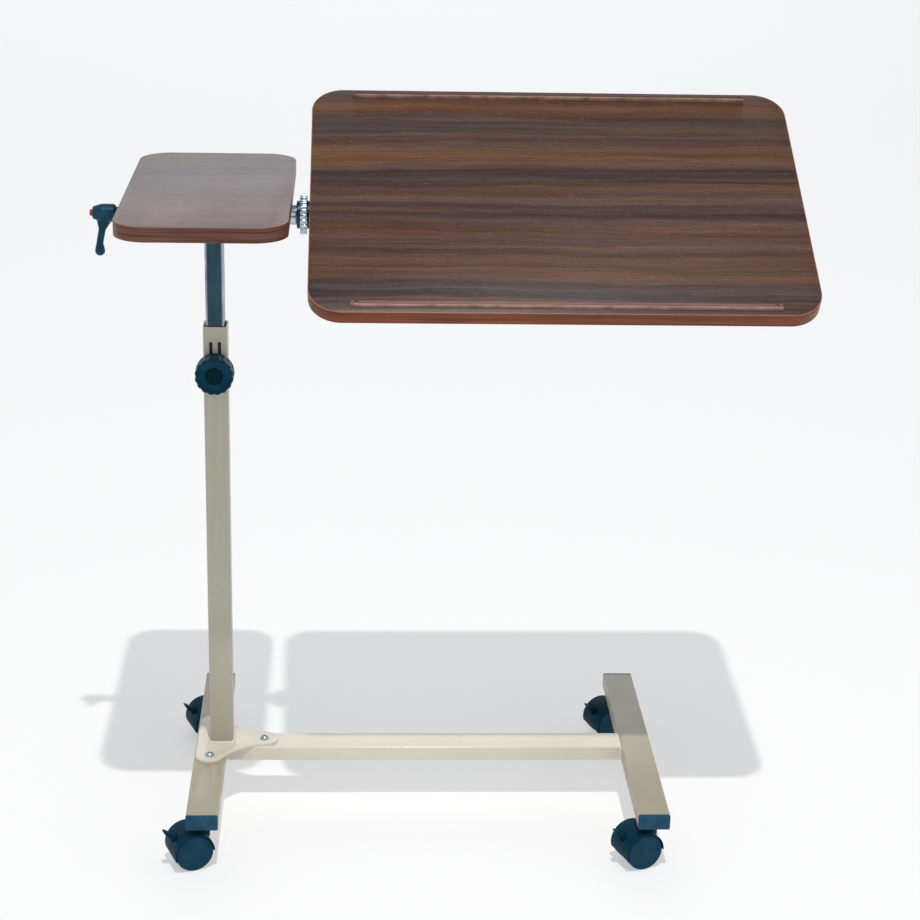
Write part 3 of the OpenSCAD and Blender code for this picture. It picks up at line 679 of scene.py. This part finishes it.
dressed("crossbar_left", BEIGE_DARK, 0.25 * MM)
dressed("crossbar_right", BEIGE_DARK, 0.25 * MM)
dressed("spine_tube", IVORY, 0.5 * MM, 3, 12)
dressed("mast_plate", IVORY, 0.35 * MM, 2, 40)
dressed("mast_outer", BEIGE, 0.22 * MM)
dressed("clamp_boss", BEIGE, 0.4 * MM)
dressed("end_caps", CAP, 0.8 * MM, 3, 40)
dressed("plate_bolts", ZINC, 0.25 * MM, 2, 40)
dressed("plate_nuts", ZINC, 0.3 * MM)
dressed("caster_nuts", ZINC, 0.3 * MM)
dressed("caster_stems", ZINC, 0.3 * MM)
dressed("mast_liner", LINER, 0.2 * MM)
dressed("clamp_pad", BRASS, 0.2 * MM)
dressed("clamp_stud", ZINC, 0.3 * MM)
dressed("mast_inner", CHROME, 0.15 * MM)
dressed("mast_plug", LINER, 0.3 * MM)
dressed("head_tube", HUB, 0.3 * MM)
dressed("head_bush", STEEL, 0.3 * MM)
dressed("side_plates", ZINC, 0.25 * MM)
dressed("main_plates", ZINC, 0.25 * MM)
for node, place in (("side_screws", SIDE_PLACE), ("main_screws", MAIN_PLACE)):
    pans = soften(node, 0.7 * MM, 3, 50)
    paint(cross_heads(pans, place, -1, 2.0 * MM, 0.8 * MM, 1.1 * MM), ZINC)
dressed("fixed_disc", DARK_HUB, 0.5 * MM)
dressed("star_disc", HUB, 0.35 * MM)
dressed("main_disc", STEEL, 0.4 * MM)
dressed("tilt_tube", ZINC, 0.3 * MM)
dressed("tilt_plug", LINER, 0.5 * MM)
dressed("tilt_bolt", STEEL, 0.2 * MM)
dressed("lever_insert", STEEL, 0.25 * MM)
dressed("lever_button", BUTTON, 0.3 * MM)


# How far a bead's root lies inside the corner that it fills.
BEAD_ROOT = 0.4 * MM


def bead(name, path, size, body, pitch=2.3 * MM):
    """A weld bead along a closed or open path of (point, outward direction, up direction)."""
    sides = 7
    verts, faces = [], []
    travelled = 0.0
    last = None
    for point, out, up in path:
        if last is not None:
            travelled += (point - last).length
        last = point
        wave = 1 + 0.22 * abs(math.sin(math.pi * travelled / pitch)) + 0.07 * math.sin(travelled / (9 * MM))
        for i in range(sides):
            a = math.pi / 2 * i / (sides - 1)
            q = size * wave * (0.9 if 0 < i < sides - 1 else 1.0)
            verts.append(point + out * (q * math.cos(a)) + up * (q * math.sin(a)))
        verts.append(point - (out + up) * BEAD_ROOT)
    ring = sides + 1
    for k in range(len(path) - 1):
        for i in range(ring):
            j = (i + 1) % ring
            faces.append((k * ring + i, k * ring + j, (k + 1) * ring + j, (k + 1) * ring + i))
    faces.append(tuple(range(ring)))
    faces.append(tuple((len(path) - 1) * ring + i for i in range(ring))[::-1])
    obj = link(name, mesh_of(name, verts, faces, 50))
    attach(obj, body)
    return obj


def steps_between(a, b):
    """Points along a line about half a millimetre apart, both ends among them."""
    n = max(2, int((b - a).length / (0.5 * MM)))
    return [a.lerp(b, i / n) for i in range(n + 1)]


UP = Vector((0, 0, 1))
MAST_LO, MAST_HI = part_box("mast_outer")
PLATE_TOP = MAST_LO.z
mast_mid = (MAST_LO + MAST_HI) / 2
half = (MAST_HI.x - MAST_LO.x) / 2
MAST_CORNER_R = 2.5 * MM
BEAD_INSET = 0.1 * MM
CORNER_BAND = 2 * MM
foot = []
for p in outline(2 * half, 2 * half, MAST_CORNER_R, BEAD_INSET, 6):
    foot.append(Vector((mast_mid.x + p[0], mast_mid.y + p[1], PLATE_TOP)))
foot.append(foot[0].copy())
foot_path = []
for a, b in zip(foot, foot[1:]):
    for q in steps_between(a, b)[:-1]:
        out = Vector((q.x - mast_mid.x, q.y - mast_mid.y, 0))
        big = max(abs(out.x), abs(out.y))
        out.x = out.x if abs(out.x) > big - CORNER_BAND else 0
        out.y = out.y if abs(out.y) > big - CORNER_BAND else 0
        foot_path.append((q, out.normalized(), UP))
foot_path.append((foot_path[0][0].copy(), foot_path[0][1], UP))
paint(bead("weld_mast_foot", foot_path, 2.9 * MM, "base", 3.2 * MM), IVORY)

SPINE_LO, SPINE_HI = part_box("spine_tube")
TUBE_CORNER = 1.5 * MM
for name, x, side in (("left", SPINE_LO.x, 1), ("right", SPINE_HI.x, -1)):
    for tag, y, out in (("front", SPINE_LO.y, Vector((0, -1, 0))), ("rear", SPINE_HI.y, Vector((0, 1, 0)))):
        low = Vector((x, y, SPINE_LO.z + TUBE_CORNER))
        high = Vector((x, y, SPINE_HI.z - TUBE_CORNER))
        path = [(q, out, Vector((side, 0, 0))) for q in steps_between(low, high)]
        paint(bead("weld_spine_%s_%s" % (name, tag), path, 2.2 * MM, "base"), IVORY)


# ---------- Clamp knob ----------

KNOB_R = (KNOB_HI.x - KNOB_LO.x) / 2
KNOB_MID = Vector(((KNOB_LO.x + KNOB_HI.x) / 2, KNOB_HI.y, (KNOB_LO.z + KNOB_HI.z) / 2))
FRONT = Matrix.Rotation(math.radians(90), 4, "X")
GRIPS = 16
GRIP_BAND = 2.6 * MM
GRIP_START = 5.5 * MM
GRIP_DEPTH = 1.1 * MM


def grip(r, h, a):
    """Scallops between the grips of the rim, none on the face or the back flange."""
    if r < KNOB_R - GRIP_BAND or h < GRIP_START:
        return r
    wave = (0.5 + 0.5 * math.cos(a * GRIPS)) ** 1.6
    fade = min(1.0, (h - GRIP_START) / (1.5 * MM))
    return r - GRIP_DEPTH * wave * fade


knob_profile = [(0, 18), (4.05, 18), (4.05, 0), (21.4, 0), (22, 0.5), (22, 2.8), (22.3, 3.1), (23.4, 3.2)]
knob_profile += [(24, 3.8), (24, 5.4), (24, 6), (24, 6.6), (24, 7.2), (24, 12), (24, 18), (24, 22.5)]
knob_profile += [(23.9, 24), (23.5, 25.1), (22.7, 26), (21.6, 26.5), (21.0, 26.4), (20.4, 25.9)]
knob_profile += [(18.2, 24.3), (16.5, 24.05), (13, 24), (11.2, 24.1), (10.8, 24.0), (10.6, 23.6)]
knob_profile += [(10.6, 22.5), (0, 22.5)]
knob = lathe(
    "knob_body",
    [(r * MM, h * MM) for r, h in knob_profile],
    256,
    Matrix.Translation(KNOB_MID) @ FRONT,
    grip,
    35,
)
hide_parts("clamp_knob")
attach(knob, "clamp_knob")
paint(knob, KNOB)

CAP_LO, CAP_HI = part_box("knob_cap")
cap_t = (CAP_HI.y - CAP_LO.y) / MM
cap_profile = [(0, 0), (10.45, 0), (10.45, cap_t - 0.9), (10.2, cap_t - 0.45), (9.5, cap_t - 0.3)]
cap_profile += [(9.2, cap_t - 0.55), (8.8, cap_t - 0.6), (8.3, cap_t - 0.35), (5, cap_t - 0.1), (0, cap_t)]
cap = lathe(
    "knob_centre_cap",
    [(r * MM, h * MM) for r, h in cap_profile],
    96,
    Matrix.Translation(Vector((KNOB_MID.x, CAP_HI.y, KNOB_MID.z))) @ FRONT,
)
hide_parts("knob_cap")
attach(cap, "clamp_knob")
paint(cap, KNOB_DARK)


# ---------- Clamp lever ----------

def melt(node, voxel, rounds, material):
    """A copy of a CAD node run together into one soft moulded skin, which then stands for it."""
    source = NODES[node]
    obj = link(node + "_moulded", source.data.copy())
    remesh = obj.modifiers.new("skin", "REMESH")
    remesh.mode = "VOXEL"
    remesh.voxel_size = voxel
    ease = obj.modifiers.new("ease", "SMOOTH")
    ease.factor = 0.5
    ease.iterations = rounds
    bpy.context.view_layer.update()
    apply_modifiers(obj)
    smooth_by_angle(obj.data, 60)
    obj.data.materials.clear()
    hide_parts(node)
    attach(obj, source["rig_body"])
    paint(obj, material)
    return obj


melt("lever_handle", 0.55 * MM, 6, LEVER)


# ---------- Casters ----------

def turn_to(direction):
    """A turn that takes Z to a direction."""
    return Vector((0, 0, 1)).rotation_difference(Vector(direction)).to_matrix().to_4x4()


def wheel(node, corner):
    """A caster wheel: a dished outer disc with a lip, a ribbed back and a tread with soft corners."""
    joint = JOINTS["%s_roll_%s" % (node.split("_")[0], corner)]
    centre = Vector(joint["pos_m"])
    axle = Vector(joint["axis"]).normalized()
    lo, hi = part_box(node)
    middle = (lo + hi) / 2
    out = axle if (middle - centre).dot(axle) > 0 else -axle
    r = (hi.z - lo.z) / 2 / MM
    t = WHEEL_T
    profile = [(0, 9.8), (3.05, 9.8), (3.05, 0.3), (3.3, 0), (7.8, 0), (8, 0.3), (8, 8.6), (8.2, 8.8)]
    profile += [(r - 4.2, 8.8), (r - 4, 8.6), (r - 4, 0.3), (r - 3.8, 0), (r - 1.1, 0)]
    profile += [(r - p[0], 1.0 - p[1]) for p in arc_points(1.0, 0, 1.0, 90, 180, 5)]
    profile += [(r, 3), (r, 6), (r, 9)]
    profile += [(r - 2 + p[0], t - 2 + p[1]) for p in arc_points(0, 0, 2.0, 0, 90, 6)]
    profile += [(r - 3.5, t), (r - 3.9, t - 0.1), (r - 4.1, t - 0.4), (r - 4.3, t - 0.75), (r - 4.8, t - 0.8)]
    profile += [(r - 7, t - 0.8), (r - 7.3, t - 0.62), (r - 7.7, t - 0.6), (r - 8.0, t - 0.8)]
    profile += [(12, t - 0.8), (6.5, t - 0.75), (6.2, t - 0.5), (5.6, t - 0.38), (0, t - 0.3)]
    place = Matrix.Translation(centre + out * WHEEL_BACK * MM) @ turn_to(out)
    obj = lathe(node + "_disc", [(max(a, 0) * MM, h * MM) for a, h in profile], 96, place, None, 30)
    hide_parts(node)
    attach(obj, node)
    paint(obj, WHEEL)


for c in CORNERS:
    dressed("hood_" + c, HOOD, 0.45 * MM, 3, 34)
    dressed("axle_" + c, ZINC, 0.3 * MM)
    dressed("brake_" + c, HOOD, 0.6 * MM, 3, 34)
    wheel("front_wheel_" + c, c)
    wheel("rear_wheel_" + c, c)


# ---------- Stage, lights and camera ----------

def disc(name, radius, place):
    mesh = bpy.data.meshes.new(name)
    bm = bmesh.new()
    bmesh.ops.create_circle(bm, cap_ends=True, segments=128, radius=radius)
    bm.to_mesh(mesh)
    bm.free()
    return link(name, mesh, place)


FLOOR_R = 30
floor = disc("floor", FLOOR_R, Matrix.Identity(4))
look = Look("floor_pale", Specular_IOR_Level=0.1, Emission_Strength=0.43)
look.shader.inputs["Emission Color"].default_value = (0.975, 0.985, 1.0, 1)
shade = look.noise(look.stretch(0.7, 0.7, 0.7), 3)
floor.data.materials.append(
    look.done(look.mix(shade, srgb(190, 190, 191), srgb(192, 192, 192)), look.span(shade, 0.3, 0.7, 0.6, 0.7))
)

world = bpy.data.worlds.new("studio")
bpy.context.scene.world = world
world.use_nodes = True
# A bright sweep all round, with a dimmer ceiling.
tree = world.node_tree
sky = tree.nodes["Background"]
direction = tree.nodes.new("ShaderNodeTexCoord")
parts = tree.nodes.new("ShaderNodeSeparateXYZ")
tree.links.new(direction.outputs["Generated"], parts.inputs["Vector"])
fall = tree.nodes.new("ShaderNodeMapRange")
tree.links.new(parts.outputs["Z"], fall.inputs["Value"])
for key, value in (("From Min", 0.30), ("From Max", 0.75), ("To Min", 1.0), ("To Max", 0.26)):
    fall.inputs[key].default_value = value
tree.links.new(fall.outputs["Result"], sky.inputs["Strength"])
sky.inputs["Color"].default_value = (0.975, 0.985, 1.0, 1)


def lamp(name, place, target, size, power, colour=(1, 1, 1)):
    data = bpy.data.lights.new(name, "AREA")
    data.shape = "DISK"
    data.size = size
    data.energy = power
    data.color = colour
    obj = bpy.data.objects.new(name, data)
    obj.location = place
    obj.rotation_euler = (Vector(target) - Vector(place)).to_track_quat("-Z", "Y").to_euler()
    bpy.context.scene.collection.objects.link(obj)


lamp("key", (0.2, -2.35, 7.6), (0, 0.1, 0.3), 0.13, 365, (1, 0.99, 0.97))
lamp("sweep", (0, 9, 5), (0, 9, 0), 7, 150)

view = bpy.context.scene.view_settings
view.view_transform = "Standard"
view.look = "None"
view.exposure = 0
view.gamma = 1

# The camera looks down on the table from a little to the left of its middle, turned by a small roll.
YAW = math.radians(2.54)
PITCH = math.radians(19.35)
ROLL = math.radians(1.19)
EYE = Vector((-0.1151, -2.4876, 1.4008))
LENS_MM = 81.6652
SHIFT_X = 0.023478
SHIFT_Y = -0.040109
ahead = Vector((math.sin(YAW) * math.cos(PITCH), math.cos(YAW) * math.cos(PITCH), -math.sin(PITCH)))
across = Vector((math.cos(YAW), -math.sin(YAW), 0))
above = across.cross(ahead)
right = math.cos(ROLL) * across + math.sin(ROLL) * above
upward = -math.sin(ROLL) * across + math.cos(ROLL) * above
camera = bpy.data.cameras.new("camera")
camera.sensor_width = 36
camera.lens = LENS_MM
camera.shift_x = SHIFT_X
camera.shift_y = SHIFT_Y
camera.clip_end = 200
camera.dof.use_dof = False
eye = bpy.data.objects.new("camera", camera)
eye.matrix_world = Matrix.Translation(EYE) @ Matrix(
    (
        (right.x, upward.x, -ahead.x, 0),
        (right.y, upward.y, -ahead.y, 0),
        (right.z, upward.z, -ahead.z, 0),
        (0, 0, 0, 1),
    )
)
bpy.context.scene.collection.objects.link(eye)
bpy.context.scene.camera = eye
